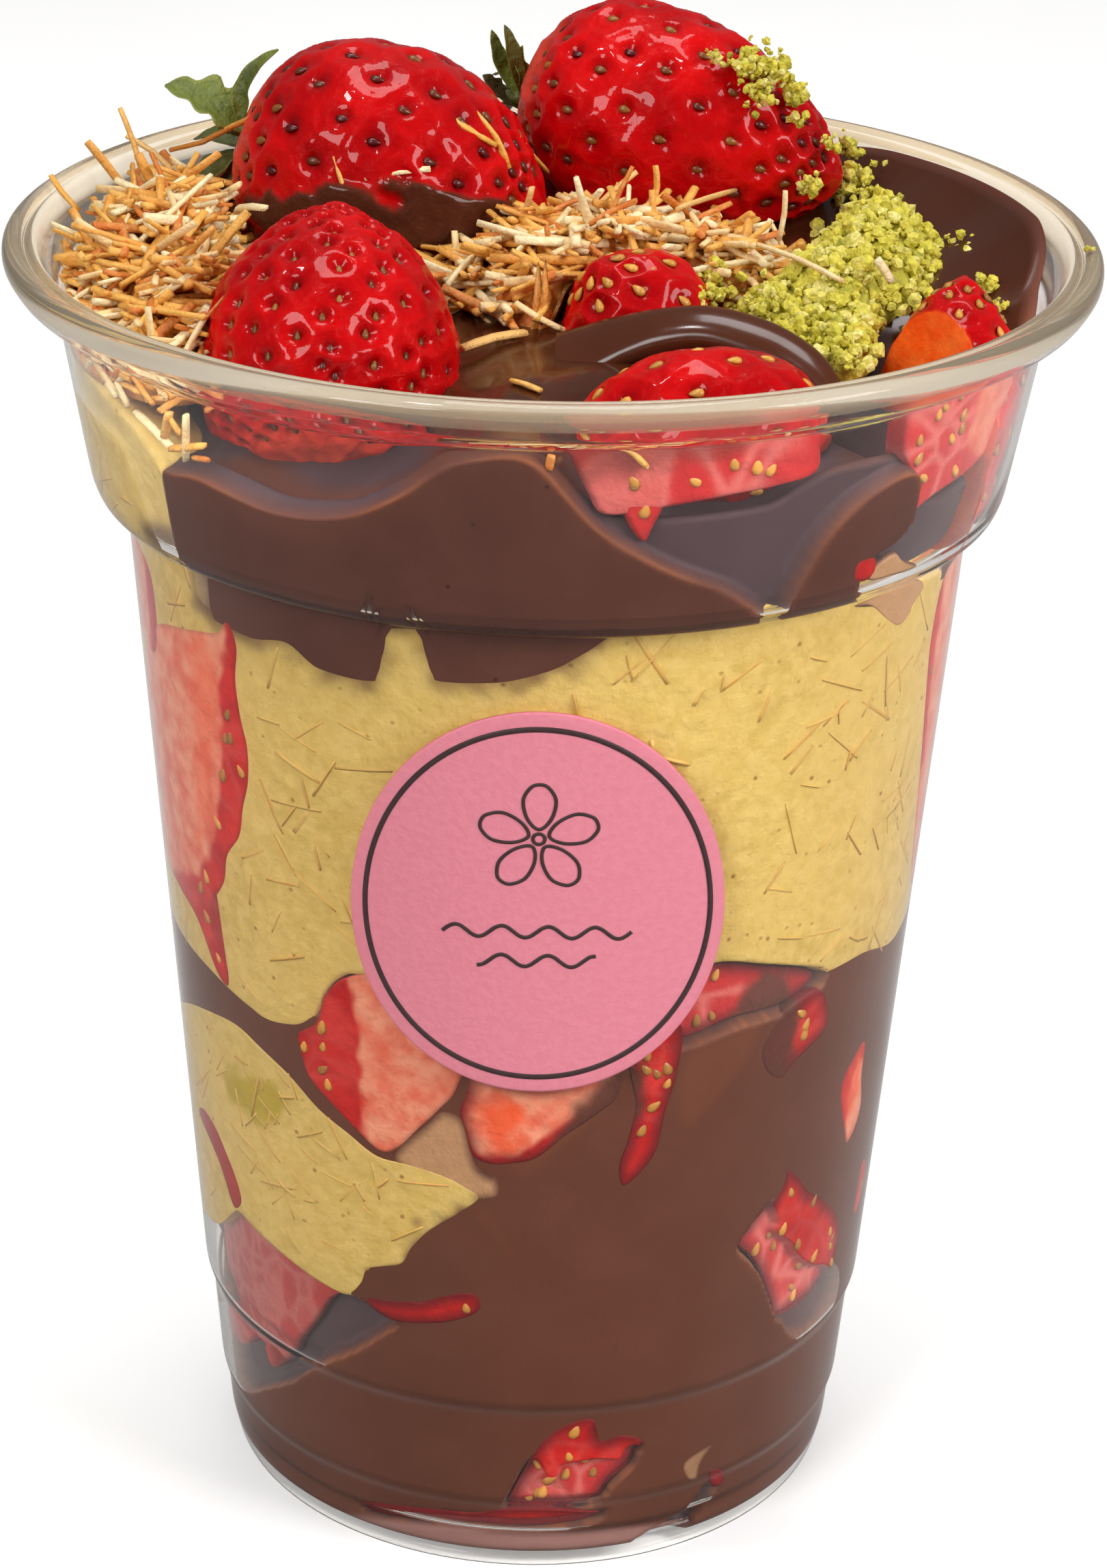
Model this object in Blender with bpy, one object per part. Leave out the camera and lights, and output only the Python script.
"""A clear dessert tumbler filled to the brim with strawberries, pistachio cream and chocolate.

Units are metres, +Z is up and the origin is the middle of the foot that the tumbler stands on.
Angles run round the tumbler from the front (-Y), positive towards +X.

The build goes from the outside in:
  1. the moulded tumbler, one turned shell;
  2. the strawberries, heaps and wall pieces, each a closed solid;
  3. the four poured layers, cut to the tumbler's inside and round everything sunk in them.
"""
import math

import bmesh
import bpy
import numpy as np
from mathutils import Matrix, Vector

# ---- driving dimensions ---------------------------------------------------------------------
RIM_RADIUS = 0.0475          # a 95 mm tumbler, measured over its rolled rim
RIM_HEIGHT = 0.1190
FOOT_RADIUS = 0.0278
WALL = 0.0007                # moulded wall
GAP = 0.0003                 # clearance kept between neighbours
CUT_GAP = 0.00045            # how far a cutter stands proud of what it clears
SEGMENTS = 28                # facets round the tumbler and the layers

STEP_LOW = 0.0076            # heights of the two stacking steps
STEP_HIGH = 0.0184
WALL_TOP = 0.0963            # where the tapered wall meets the collar
NECK = 0.1140                # where the collar meets the rim
FLOOR = 0.0036               # inside floor above the foot
FLOOR_THICK = 0.0008
FOOT_INNER_RADIUS = 0.0264   # the tumbler stands on a flat ring from here out to FOOT_RADIUS

TAPER_LOW_RADIUS = 0.0312    # outer radius just above the high step
TAPER_TOP_RADIUS = 0.03735   # outer radius just under the collar
COLLAR_LOW_RADIUS = 0.0403
COLLAR_TOP_RADIUS = 0.0431

LABEL_HALF_WIDTH = 0.0163
LABEL_HALF_HEIGHT = 0.0182
LABEL_HEIGHT = 0.0713
LABEL_BOW = 0.0014           # the sides of the sticker sit this much lower than its middle
LABEL_THICK = 0.0004
LABEL_POINTS = 24            # corners round the sticker's edge

BELOW_FOOT = -0.0100         # lowest and highest reach of the shapes that cut the layers
ABOVE_FRUIT = 0.1400
SAUCE_REACH = 0.1320         # the upper sauce is cut from a slab that ends above the rim
BODY_LOW = 0.0700            # ... and starts no lower than this


# ---- small helpers --------------------------------------------------------------------------
def clear_scene():
    """Start from an empty scene."""
    for old in list(bpy.data.objects):
        bpy.data.objects.remove(old, do_unlink=True)


def material(name, color, roughness, transmission=0.0):
    """One Principled material."""
    mat = bpy.data.materials.new(name)
    mat.use_nodes = True
    shader = mat.node_tree.nodes["Principled BSDF"]
    shader.inputs["Base Color"].default_value = (*color, 1.0)
    shader.inputs["Roughness"].default_value = roughness
    shader.inputs["Metallic"].default_value = 0.0
    shader.inputs["Transmission Weight"].default_value = transmission
    return mat


def add_object(name, mesh_source, mat):
    """Turn a bmesh into a linked object with outward faces."""
    bmesh.ops.recalc_face_normals(mesh_source, faces=mesh_source.faces)
    if mesh_source.calc_volume(signed=True) < 0.0:
        bmesh.ops.reverse_faces(mesh_source, faces=mesh_source.faces)
    bmesh.ops.triangulate(mesh_source, faces=mesh_source.faces)
    mesh = bpy.data.meshes.new(name)
    mesh_source.to_mesh(mesh)
    mesh_source.free()
    obj = bpy.data.objects.new(name, mesh)
    bpy.context.scene.collection.objects.link(obj)
    if mat is not None:
        mesh.materials.append(mat)
    return obj


def hide_cutter(obj):
    """A cutter shapes other objects and isn't part of the model."""
    obj.hide_render = True
    obj.display_type = "WIRE"
    return obj


def boolean(obj, other, operation):
    """Add one live Boolean modifier.

    A layer is cut a dozen times in a row, which leaves the EXACT solver with open edges, so
    these use MANIFOLD: every shape here is closed, which is what that solver needs.
    """
    modifier = obj.modifiers.new(operation.title() + "_" + other.name, "BOOLEAN")
    modifier.operation = operation
    modifier.object = other
    modifier.solver = "MANIFOLD"


def swell(obj, distance):
    """Move every vertex out along its normal, to clear the neighbour by that much."""
    shape = bmesh.new()
    shape.from_mesh(obj.data)
    shape.normal_update()
    shifts = [v.normal * distance for v in shape.verts]
    for vert, shift in zip(shape.verts, shifts):
        vert.co += shift
    shape.to_mesh(obj.data)
    shape.free()


def cutter_of(obj, distance=CUT_GAP):
    """A swollen, hidden copy of a shape's own mesh, used to cut room for it."""
    copy = bpy.data.objects.new("cut_" + obj.name, obj.data.copy())
    copy.matrix_world = obj.matrix_world
    bpy.context.scene.collection.objects.link(copy)
    swell(copy, distance)
    return hide_cutter(copy)


def wall_point(angle_deg, radius, height):
    """A point in the tumbler's own round coordinates."""
    angle = math.radians(angle_deg)
    return Vector((radius * math.sin(angle), -radius * math.cos(angle), height))


def around(table, angle_deg):
    """Smooth closed curve through (angle, value) pairs, with no overshoot between them."""
    angles = [row[0] for row in table]
    values = [row[1] for row in table]
    turn = (angle_deg - angles[0]) % 360.0 + angles[0]
    angles.append(angles[0] + 360.0)
    values.append(values[0])
    for low, high, first, second in zip(angles[:-1], angles[1:], values[:-1], values[1:]):
        if low <= turn <= high:
            share = (turn - low) / (high - low)
            ease = share * share * (3.0 - 2.0 * share)
            return first + (second - first) * ease
    return values[0]


# ---- the tumbler ----------------------------------------------------------------------------
def outer_profile():
    """Outside of the tumbler from the foot up to the top of the rim."""
    return [
        (FOOT_RADIUS, 0.0), (0.0283, 0.0005), (0.0289, 0.0030), (0.0293, STEP_LOW - 0.0005),
        (0.02975, STEP_LOW + 0.0004), (0.0306, STEP_HIGH - 0.0005),
        (TAPER_LOW_RADIUS, STEP_HIGH + 0.0006), (TAPER_TOP_RADIUS, WALL_TOP),
        (0.0393, WALL_TOP + 0.0005), (COLLAR_LOW_RADIUS, WALL_TOP + 0.0018),
        (0.0408, 0.1008), (COLLAR_TOP_RADIUS, NECK), (0.0464, 0.1160),
        (RIM_RADIUS, 0.1176), (0.0472, 0.1185), (0.0460, RIM_HEIGHT),
    ]


def inner_profile():
    """Inside of the tumbler from the middle of the floor up to the rim."""
    return [
        (0.0, FLOOR + 0.0006), (0.0272, FLOOR), (0.0281, FLOOR + 0.0008),
        (0.0293 - WALL, STEP_LOW - 0.0003), (0.02975 - WALL, STEP_LOW + 0.0006),
        (0.0306 - WALL, STEP_HIGH - 0.0003), (TAPER_LOW_RADIUS - WALL, STEP_HIGH + 0.0008),
        (TAPER_TOP_RADIUS - WALL, WALL_TOP + 0.0005), (0.0388, WALL_TOP + 0.0011),
        (COLLAR_LOW_RADIUS - WALL, WALL_TOP + 0.0023), (0.0408 - WALL, 0.1009),
        (COLLAR_TOP_RADIUS - WALL, NECK + 0.0003), (0.0440, 0.1172), (0.0446, 0.1187),
    ]


def inner_radius(height):
    """Inside radius of the tumbler at a height."""
    profile = inner_profile()[1:]
    return float(np.interp(height, [z for _, z in profile], [r for r, _ in profile]))


def turn_profile(profile, segments=SEGMENTS):
    """Spin a closed outline round the Z axis into a closed solid."""
    shape = bmesh.new()
    verts = [shape.verts.new((r, 0.0, z)) for r, z in profile]
    edges = [shape.edges.new((a, b)) for a, b in zip(verts, verts[1:])]
    if profile[0][0] > 0.0:
        edges.append(shape.edges.new((verts[-1], verts[0])))
    bmesh.ops.spin(shape, geom=verts + edges, cent=(0.0, 0.0, 0.0), axis=(0.0, 0.0, 1.0),
                   angle=math.tau, steps=segments, use_merge=True)
    bmesh.ops.remove_doubles(shape, verts=shape.verts, dist=1e-7)
    return shape


def build_cup(mat):
    """The tumbler: foot ring, raised floor, two stacking steps, taper, collar and rolled rim."""
    floor_under = FLOOR - FLOOR_THICK
    under = [(0.0, floor_under), (FOOT_INNER_RADIUS - 0.0002, floor_under - 0.0004),
             (FOOT_INNER_RADIUS, 0.0)]
    profile = under + outer_profile() + inner_profile()[::-1]
    cup = add_object("cup", turn_profile(profile), mat)
    cup.data.shade_smooth()
    cup.data.set_sharp_from_angle(angle=math.radians(35.0))
    return cup


def build_fill_space():
    """The room inside the tumbler, a gap clear of its wall, closed level with the rim."""
    profile = [(max(r - GAP, 0.0), z + GAP) for r, z in inner_profile()[:3]]
    profile += [(r - GAP, z) for r, z in inner_profile()[3:]]
    profile.append((0.0, profile[-1][1]))
    return hide_cutter(add_object("fill_space", turn_profile(profile), None))


# ---- the sticker ----------------------------------------------------------------------------
def label_point(ring_share, turn, offset):
    """Point on the sticker: share of the way out, angle round it, distance off the wall."""
    side = LABEL_HALF_WIDTH * ring_share * math.sin(turn)
    bow = LABEL_BOW * (ring_share * math.sin(turn)) ** 2
    height = LABEL_HEIGHT + LABEL_HALF_HEIGHT * ring_share * math.cos(turn) - bow
    slope = (TAPER_TOP_RADIUS - TAPER_LOW_RADIUS) / (WALL_TOP - STEP_HIGH)
    radius = TAPER_LOW_RADIUS + slope * (height - STEP_HIGH) + offset
    return wall_point(math.degrees(side / radius), radius, height)


def build_label(mat):
    """A round paper sticker wrapped on the tapered wall."""
    rings = (0.55, 1.0)
    shape = bmesh.new()
    faces_by_side = []
    for offset in (GAP, GAP + LABEL_THICK):
        middle = shape.verts.new(label_point(0.0, 0.0, offset))
        loops = []
        for share in rings:
            turns = [math.tau * k / LABEL_POINTS for k in range(LABEL_POINTS)]
            loops.append([shape.verts.new(label_point(share, t, offset)) for t in turns])
        for k in range(LABEL_POINTS):
            shape.faces.new((middle, loops[0][k], loops[0][k - 1]))
            for inner, outer in zip(loops, loops[1:]):
                shape.faces.new((inner[k - 1], inner[k], outer[k], outer[k - 1]))
        faces_by_side.append(loops[-1])
    inner, outer = faces_by_side
    for k in range(LABEL_POINTS):
        shape.faces.new((inner[k - 1], inner[k], outer[k], outer[k - 1]))
    return add_object("label", shape, mat)


# ---- strawberries ---------------------------------------------------------------------------
def berry_radius(share, shoulder):
    """Strawberry outline: 0 at the stalk end, 1 at the tip, returned as a share of its width."""
    if share < shoulder:
        return math.sqrt(max(0.0, 1.0 - (1.0 - share / shoulder) ** 2.4))
    return max(0.0, 1.0 - ((share - shoulder) / (1.0 - shoulder)) ** 2.1) ** 0.72


def frame_along(direction, twist_deg=0.0):
    """Rotation that lays local +Z along a direction."""
    turn = Vector(direction).normalized().to_track_quat("Z", "Y").to_matrix().to_4x4()
    return turn @ Matrix.Rotation(math.radians(twist_deg), 4, "Z")


def strawberry(name, stalk, tip, width, widest, mat, lump=0.03, segments=12, rings=8):
    """A whole strawberry from its stalk end to its tip, a little lumpy."""
    stalk, tip = Vector(stalk), Vector(tip)
    length = (tip - stalk).length
    place = Matrix.Translation(stalk) @ frame_along(tip - stalk)
    shape = bmesh.new()
    loops = []
    for row in range(1, rings):
        share = 0.5 - 0.5 * math.cos(math.pi * row / rings)
        loop = []
        for k in range(segments):
            turn = math.tau * k / segments
            wave = 1.0 + lump * math.sin(3.0 * turn + 5.0 * share + len(name))
            reach = 0.5 * width * berry_radius(share, widest) * wave
            local = Vector((reach * math.cos(turn), reach * math.sin(turn), length * share))
            loop.append(shape.verts.new(place @ local))
        loops.append(loop)
    first = shape.verts.new(place @ Vector((0.0, 0.0, 0.0)))
    last = shape.verts.new(place @ Vector((0.0, 0.0, length)))
    for k in range(segments):
        shape.faces.new((first, loops[0][k], loops[0][k - 1]))
        shape.faces.new((last, loops[-1][k - 1], loops[-1][k]))
        for low, high in zip(loops, loops[1:]):
            shape.faces.new((low[k - 1], low[k], high[k], high[k - 1]))
    return add_object(name, shape, mat)


def calyx(name, base, outward, leaf_length, mat, leaves=6, twist_deg=0.0):
    """The leafy crown at a strawberry's stalk end: a small star with lifted points.

    The leaves that point down are pressed flat under the berry, so they show shorter.
    """
    place = Matrix.Translation(Vector(base)) @ frame_along(outward, twist_deg)
    hub = 0.28 * leaf_length
    shape = bmesh.new()
    sides = []
    for level in (0.0, 0.0007):
        middle = shape.verts.new(place @ Vector((0.0, 0.0, level)))
        loop = []
        for k in range(2 * leaves):
            turn = math.pi * k / leaves
            upward = 0.62 + 0.38 * math.sin(turn + math.radians(twist_deg))
            reach = leaf_length * upward if k % 2 == 0 else hub
            lift = 0.35 * leaf_length if k % 2 == 0 else 0.0
            local = Vector((reach * math.cos(turn), reach * math.sin(turn), level + lift))
            loop.append(shape.verts.new(place @ local))
        for k in range(2 * leaves):
            shape.faces.new((middle, loop[k], loop[k - 1]))
        sides.append(loop)
    low, high = sides
    for k in range(2 * leaves):
        shape.faces.new((low[k - 1], low[k], high[k], high[k - 1]))
    return add_object(name, shape, mat)


SUNK_SHARE = 0.22            # how much of a wall piece's depth its middle lies inside the wall


def wall_piece(name, angle_deg, height, half_width, half_height, depth, tilt_deg, mat, room):
    """A piece of fruit pressed against the wall: a pebble cut flush by the inside of the wall."""
    radius = inner_radius(height) - GAP
    sunk = SUNK_SHARE * depth
    shape = bmesh.new()
    bmesh.ops.create_uvsphere(shape, u_segments=9, v_segments=5, radius=1.0)
    spread = Matrix.Diagonal((half_width, depth, half_height, 1.0))
    tilt = Matrix.Rotation(math.radians(tilt_deg), 4, "Y")
    face = Matrix.Rotation(math.radians(angle_deg), 4, "Z")
    place = Matrix.Translation(wall_point(angle_deg, radius - sunk, height))
    shape.transform(place @ face @ tilt @ spread)
    piece = add_object(name, shape, mat)
    boolean(piece, room, "INTERSECT")
    return piece


# ---- heaps ----------------------------------------------------------------------------------
def mound(name, outline, base, crown, mat, waves=0.0006, rings=2, spokes=16):
    """A low heap over a closed outline of (x, y) points, with an uneven crown.

    `base` is its flat underside and `crown` the height of its middle; the edge is a thin lip.
    """
    shape = bmesh.new()
    corners = np.array(outline)
    middle = corners.mean(axis=0)
    count = len(corners)
    sides = []
    for top in (False, True):
        loops = []
        for row in range(1, rings + 1):
            share = row / rings
            loop = []
            for k in range(spokes):
                along = k / spokes * count
                first, part = int(along) % count, along - int(along)
                ease = part * part * (3.0 - 2.0 * part)
                edge = corners[first] * (1.0 - ease) + corners[(first + 1) % count] * ease
                x, y = middle + (edge - middle) * share
                rise = (crown - base) * (1.0 - 0.78 * share ** 2.2)
                wave = waves * math.sin(900.0 * x + row) * math.cos(1100.0 * y + 2.0 * row)
                loop.append(shape.verts.new((x, y, base + rise + wave if top else base)))
            loops.append(loop)
        centre = shape.verts.new((*middle, crown if top else base))
        for k in range(spokes):
            shape.faces.new((centre, loops[0][k], loops[0][k - 1]))
            for inner, outer in zip(loops, loops[1:]):
                shape.faces.new((inner[k - 1], inner[k], outer[k], outer[k - 1]))
        sides.append(loops[-1])
    low, high = sides
    for k in range(spokes):
        shape.faces.new((low[k - 1], low[k], high[k], high[k - 1]))
    return add_object(name, shape, mat)


def build_heaps(room, threads, crumbs):
    """Toasted threads and chopped pistachio, resting on the layers and round the berries."""
    above = hide_cutter(slab("above_layers", raised(surface(TOP_LINE, TOP_MIDDLE), GAP),
                             level(ABOVE_FRUIT), None))
    left = mound("kataifi_left", KATAIFI_LEFT, HEAP_FOOT, LEFT_CROWN, threads)
    middle = mound("kataifi_middle", KATAIFI_MIDDLE, HEAP_FOOT, MIDDLE_CROWN, threads)
    nuts = mound("pistachio_heap", PISTACHIO, HEAP_FOOT, PISTACHIO_CROWN, crumbs)
    cutter_of(middle)
    neighbours = {left: ("berry_back_left", "berry_front_left"),
                  middle: ("berry_back_left", "berry_back_right", "berry_middle"),
                  nuts: ("berry_back_right", "berry_right", "kataifi_middle")}
    boolean(left, room, "INTERSECT")
    for heap, others in neighbours.items():
        boolean(heap, above, "INTERSECT")
        for other in others:
            boolean(heap, bpy.data.objects["cut_" + other], "DIFFERENCE")


# ---- poured layers --------------------------------------------------------------------------
SURFACE_RINGS = (0.60, 1.0, 1.5)   # shares of the inside radius
MEAN_RADIUS = 0.0385


def surface(table, middle, bend=2.0):
    """Height field: `table` gives the height at the wall by angle, `middle` that on the axis."""
    def height(share, angle_deg):
        edge = around(table, angle_deg)
        return middle + (edge - middle) * min(share, 1.0) ** bend
    return height


def slab(name, low, high, mat):
    """Closed slab between two height fields, wider than the tumbler so that it can be cut."""
    shape = bmesh.new()
    rims = []
    for field in (low, high):
        loops = []
        for share in SURFACE_RINGS:
            angles = [360.0 * k / SEGMENTS for k in range(SEGMENTS)]
            loops.append([shape.verts.new(wall_point(a, MEAN_RADIUS * share, field(share, a)))
                          for a in angles])
        centre = shape.verts.new((0.0, 0.0, field(0.0, 0.0)))
        for k in range(SEGMENTS):
            shape.faces.new((centre, loops[0][k], loops[0][k - 1]))
            for inner, outer in zip(loops, loops[1:]):
                shape.faces.new((inner[k - 1], inner[k], outer[k], outer[k - 1]))
        rims.append(loops[-1])
    under, over = rims
    for k in range(SEGMENTS):
        shape.faces.new((under[k - 1], under[k], over[k], over[k - 1]))
    return add_object(name, shape, mat)


def level(height):
    """A flat height field."""
    return lambda share, angle_deg: height


def raised(field, step):
    """The same height field, moved up by a step."""
    return lambda share, angle_deg: field(share, angle_deg) + step


# Height of each boundary where it meets the wall, by angle from the front.
LOWER_CREAM_LINE = [(-150, 0.0570), (-100, 0.0530), (-59, 0.0510), (-35, 0.0565), (-29, 0.0610),
                    (23, 0.0631), (68, 0.0560), (100, 0.0590), (150, 0.0610)]
UPPER_CHOCOLATE_LINE = [(-140, 0.1290), (-66, 0.1290), (-52, 0.0950), (-27, 0.0895),
                        (-8, 0.0915), (6, 0.0986), (28, 0.0972), (52, 0.0990), (95, 0.1010),
                        (140, 0.1060), (180, 0.1290)]
TOP_LINE = [(-150, 0.1165), (-90, 0.1150), (-50, 0.1130), (0, 0.1125), (60, 0.1125),
            (88, 0.1140), (104, 0.1178), (133, 0.1182), (170, 0.1165)]
TOP_MIDDLE = 0.1122
HEAP_FOOT = 0.1090           # the heaps start below the surface and are cut to rest on it
LEFT_CROWN = 0.1212
MIDDLE_CROWN = 0.1206
PISTACHIO_CROWN = 0.1198
LOWER_CREAM_MIDDLE = 0.0590  # heights of the boundaries on the tumbler's axis
UPPER_CHOCOLATE_MIDDLE = 0.1010
LOBE = (-41.0, 0.0390, 0.0195, 0.0100, 0.0150, 9.0)   # as a row of WALL_FRUIT below


def build_layers(mats, room, inserts):
    """The four poured layers, each cut to the room and round the fruit and heaps in it."""
    cream_line = surface(LOWER_CREAM_LINE, LOWER_CREAM_MIDDLE)
    sauce_line = surface(UPPER_CHOCOLATE_LINE, UPPER_CHOCOLATE_MIDDLE, bend=3.0)
    top_line = surface(TOP_LINE, TOP_MIDDLE)

    lobe = wall_blob("lobe", *LOBE)
    lobe_cut = cutter_of(lobe)
    sauce_shape = hide_cutter(slab("sauce_shape", sauce_line, level(SAUCE_REACH), None))
    sauce_cut = cutter_of(sauce_shape)
    body = hide_cutter(slab("top_body", level(BODY_LOW), top_line, None))
    low_body = hide_cutter(slab("low_body", level(BELOW_FOOT), raised(cream_line, -GAP), None))

    chocolate_lower = slab("chocolate_lower", level(BELOW_FOOT), raised(cream_line, -GAP),
                           mats["chocolate"])
    boolean(chocolate_lower, room, "INTERSECT")

    cream_lower = bpy.data.objects.new("cream_lower", lobe.data.copy())
    bpy.context.scene.collection.objects.link(cream_lower)
    cream_lower.data.materials.append(mats["cream"])
    boolean(cream_lower, room, "INTERSECT")
    boolean(cream_lower, low_body, "INTERSECT")

    cream_upper = slab("cream_upper", raised(cream_line, GAP), top_line, mats["cream"])
    boolean(cream_upper, room, "INTERSECT")

    chocolate_upper = bpy.data.objects.new("chocolate_upper", sauce_shape.data.copy())
    bpy.context.scene.collection.objects.link(chocolate_upper)
    chocolate_upper.data.materials.append(mats["chocolate"])
    boolean(chocolate_upper, body, "INTERSECT")
    boolean(chocolate_upper, room, "INTERSECT")

    cuts = [(cutter_of(insert), sunk_in) for insert, sunk_in in inserts]
    cuts += [(lobe_cut, ("chocolate_lower",)), (sauce_cut, ("cream_upper",))]
    for layer in (chocolate_lower, cream_lower, cream_upper, chocolate_upper):
        for cut, sunk_in in cuts:
            if layer.name in sunk_in:
                boolean(layer, cut, "DIFFERENCE")


def wall_blob(name, angle_deg, height, half_width, half_height, depth, tilt_deg):
    """A round-edged lump against the wall, used to shape the lobe of cream low on the left."""
    shape = bmesh.new()
    bmesh.ops.create_uvsphere(shape, u_segments=16, v_segments=8, radius=1.0)
    spread = Matrix.Diagonal((half_width, depth, half_height, 1.0))
    tilt = Matrix.Rotation(math.radians(tilt_deg), 4, "Y")
    face = Matrix.Rotation(math.radians(angle_deg), 4, "Z")
    place = Matrix.Translation(wall_point(angle_deg, inner_radius(height) - 0.25 * depth, height))
    shape.transform(place @ face @ tilt @ spread)
    return hide_cutter(add_object(name, shape, None))


# ---- the fruit ------------------------------------------------------------------------------
UPPER = ("cream_upper", "chocolate_upper")
LOWER = ("chocolate_lower",)

# name, stalk end, tip, width, where along its length it is widest, layers it is sunk in
TOP_BERRIES = [
    ("berry_back_left", (-0.0286, 0.0190, 0.1192), (-0.0008, 0.0125, 0.1172), 0.0252, 0.45, UPPER),
    ("berry_back_right", (-0.0028, 0.0330, 0.1228), (0.0262, 0.0225, 0.1176), 0.0216, 0.36, UPPER),
    ("berry_front_left", (-0.0186, -0.0235, 0.1046), (-0.0184, -0.0085, 0.1232), 0.0214, 0.40,
     UPPER),
    ("berry_middle", (0.0105, -0.0035, 0.1075), (0.0035, -0.0065, 0.1180), 0.0132, 0.40,
     ("chocolate_upper",)),
    ("berry_front_right", (0.0230, -0.0205, 0.1085), (0.0012, -0.0260, 0.1085), 0.0150, 0.45,
     ("chocolate_upper",)),
    ("berry_right", (0.0330, -0.0175, 0.0950), (0.0352, -0.0045, 0.1170), 0.0132, 0.45, UPPER),
]

# name, angle, height, half width, half height, depth, tilt, layers it is sunk in
WALL_FRUIT = [
    ("slice_tall_left", -57.5, 0.0715, 0.0060, 0.0195, 0.0050, -3.0,
     ("chocolate_lower", "cream_upper")),
    ("piece_under_label_left", -24.6, 0.0525, 0.0076, 0.0078, 0.0050, 20.0,
     ("chocolate_lower", "cream_lower")),
    ("piece_under_label", 6.2, 0.0505, 0.0096, 0.0068, 0.0050, 8.0, LOWER),
    ("piece_right_of_label", 39.0, 0.0545, 0.0074, 0.0036, 0.0045, -6.0, LOWER),
    ("sliver_right", 66.0, 0.0424, 0.0034, 0.0046, 0.0035, 0.0, LOWER),
    ("slice_thin", -18.0, 0.0270, 0.0055, 0.0014, 0.0040, -6.0,
     ("chocolate_lower", "cream_lower")),
    ("piece_right_low", 52.0, 0.0292, 0.0064, 0.0070, 0.0050, 8.0, LOWER),
    ("sliver_right_low", 81.0, 0.0255, 0.0026, 0.0032, 0.0030, 0.0, LOWER),
    ("piece_foot_middle", 11.0, 0.0120, 0.0042, 0.0044, 0.0040, -20.0, LOWER),
    ("piece_foot_left", -14.5, 0.0064, 0.0078, 0.0022, 0.0035, 0.0, LOWER),
    ("piece_foot_right", 36.0, 0.0062, 0.0020, 0.0016, 0.0030, 0.0, LOWER),
    ("berry_hazy_left", -49.0, 0.0225, 0.0082, 0.0056, 0.0060, 8.0, LOWER),
    ("slice_right_edge", 87.0, 0.0730, 0.0040, 0.0120, 0.0045, 0.0, ("cream_upper",)),
    ("piece_left_edge", -73.0, 0.0890, 0.0034, 0.0044, 0.0035, 0.0, ("cream_upper",)),
    ("piece_back_high", 150.0, 0.0800, 0.0080, 0.0100, 0.0060, 15.0, ("cream_upper",)),
    ("piece_back_low", -160.0, 0.0350, 0.0085, 0.0075, 0.0060, -20.0, LOWER),
]

KATAIFI_LEFT = [(-0.0430, -0.0020), (-0.0400, -0.0140), (-0.0335, -0.0230), (-0.0285, -0.0225),
                (-0.0262, -0.0120), (-0.0268, 0.0000), (-0.0280, 0.0080), (-0.0300, 0.0265),
                (-0.0345, 0.0260), (-0.0410, 0.0150)]
KATAIFI_MIDDLE = [(-0.0130, 0.0005), (-0.0050, -0.0050), (0.0020, 0.0005), (0.0100, 0.0030),
                  (0.0190, -0.0005), (0.0245, 0.0040), (0.0190, 0.0130), (0.0060, 0.0185),
                  (-0.0060, 0.0125)]
PISTACHIO = [(0.0130, -0.0095), (0.0205, -0.0160), (0.0285, -0.0100), (0.0345, 0.0000),
             (0.0395, 0.0110), (0.0365, 0.0210), (0.0300, 0.0300), (0.0272, 0.0160),
             (0.0250, 0.0040), (0.0185, -0.0035)]


def main():
    """Build every piece."""
    clear_scene()
    plastic = material("clear_plastic", (0.93, 0.92, 0.90), 0.06, transmission=0.9)
    paper = material("pink_paper", (0.80, 0.26, 0.34), 0.55)
    red = material("strawberry", (0.62, 0.02, 0.02), 0.3)
    leaf = material("leaf", (0.12, 0.22, 0.04), 0.6)
    threads = material("toasted_threads", (0.72, 0.45, 0.15), 0.6)
    crumbs = material("pistachio_crumbs", (0.58, 0.60, 0.12), 0.8)
    mats = {"chocolate": material("chocolate", (0.09, 0.035, 0.022), 0.35),
            "cream": material("pistachio_cream", (0.62, 0.48, 0.16), 0.5)}

    build_cup(plastic)
    build_label(paper)
    room = build_fill_space()

    inserts = []
    for name, stalk, tip, width, widest, sunk_in in TOP_BERRIES:
        inserts.append((strawberry(name, stalk, tip, width, widest, red), sunk_in))
    boolean(bpy.data.objects["berry_right"], room, "INTERSECT")
    for name, angle, height, wide, tall, depth, tilt, sunk_in in WALL_FRUIT:
        piece = wall_piece(name, angle, height, wide, tall, depth, tilt, red, room)
        inserts.append((piece, sunk_in))

    calyx("calyx_back_left", (-0.0292, 0.0196, 0.1206), (-0.95, 0.25, 0.30), 0.0085, leaf,
          twist_deg=20.0)
    calyx("calyx_back_right", (-0.0040, 0.0334, 0.1240), (-0.92, 0.32, 0.25), 0.0065, leaf,
          twist_deg=10.0)

    build_layers(mats, room, inserts)
    build_heaps(room, threads, crumbs)


main()
